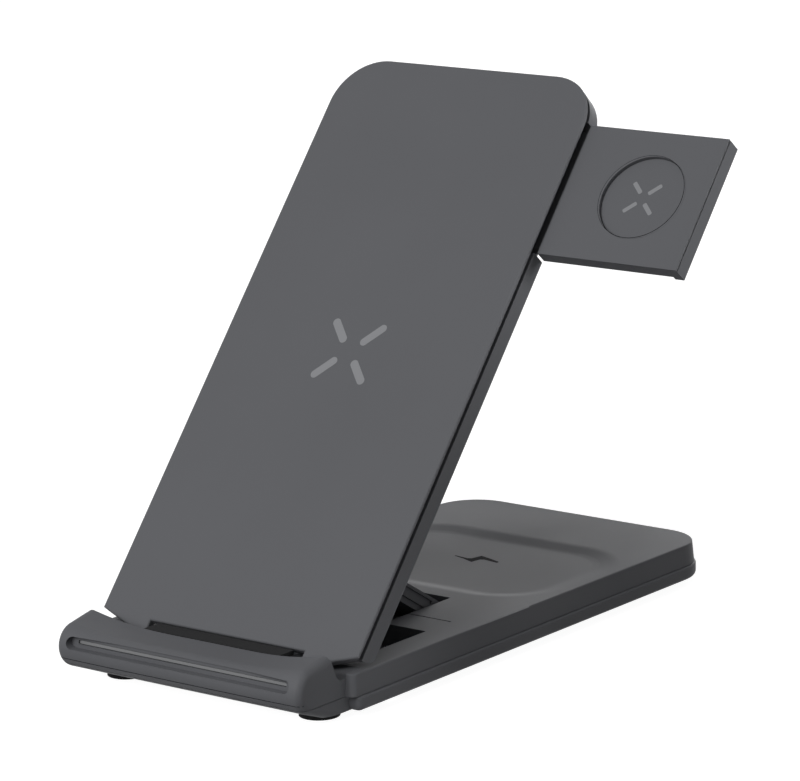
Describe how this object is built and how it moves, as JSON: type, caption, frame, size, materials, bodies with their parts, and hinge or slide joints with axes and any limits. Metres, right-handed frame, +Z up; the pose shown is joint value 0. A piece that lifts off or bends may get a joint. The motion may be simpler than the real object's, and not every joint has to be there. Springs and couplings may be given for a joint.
{
  "type": "wireless charging station",
  "caption": "Foldable wireless charging station: low base with an earbud dish and curled phone rest, leaning phone panel on a strut and a sliding watch drawer.",
  "frame": {"origin": "centre of the bounding box, on the plane the feet stand on", "axes": "+X to the right seen from the front (the watch drawer's side), +Y from the phone rest to the back, +Z up"},
  "size_m": [0.1216, 0.173, 0.1388],
  "materials": {
    "housing": "soft matte",
    "rubber": "matte",
    "light_diffuser": "satin",
    "steel": "satin",
    "copper": "enamelled wire",
    "ferrite": "matte",
    "board": "satin"
  },
  "bodies": {
    "base": {"base_cover": "housing", "base_plate": "housing", "rest_pad": "rubber", "light_bar": "light_diffuser", "light_board": "board", "hinge_pin": "steel", "strut_pin": "steel", "earbud_coil": "copper", "earbud_shield": "ferrite", "circuit_board": "board", "usb_socket": "steel", "feet": "rubber", "base_screws": "steel"},
    "panel": {"panel_face": "housing", "panel_shell": "housing", "phone_coil": "copper", "phone_shield": "ferrite", "panel_board": "board"},
    "drawer": {"drawer_tray": "housing", "watch_disc": "housing", "watch_coil": "copper", "watch_magnet": "steel"},
    "strut": {"strut": "housing"}
  },
  "joints": [
    {"name": "panel_fold", "type": "hinge", "parent": "base", "child": "panel", "pos_m": [-0.01985, -0.0609, 0.0146], "axis": [1, 0, 0], "range_deg": [-50.3, 0]},
    {"name": "strut_fold", "type": "hinge", "parent": "base", "child": "strut", "pos_m": [-0.01985, -0.00465, 0.0078], "axis": [1, 0, 0], "range_deg": [0, 31.1]},
    {"name": "watch_drawer", "type": "slide", "parent": "panel", "child": "drawer", "axis": [1, 0, 0], "range_m": [-0.041, 0]}
  ],
  "couplings": [
    {"joint": "strut_fold", "follows": "panel_fold", "ratio": -0.6176}
  ]
}
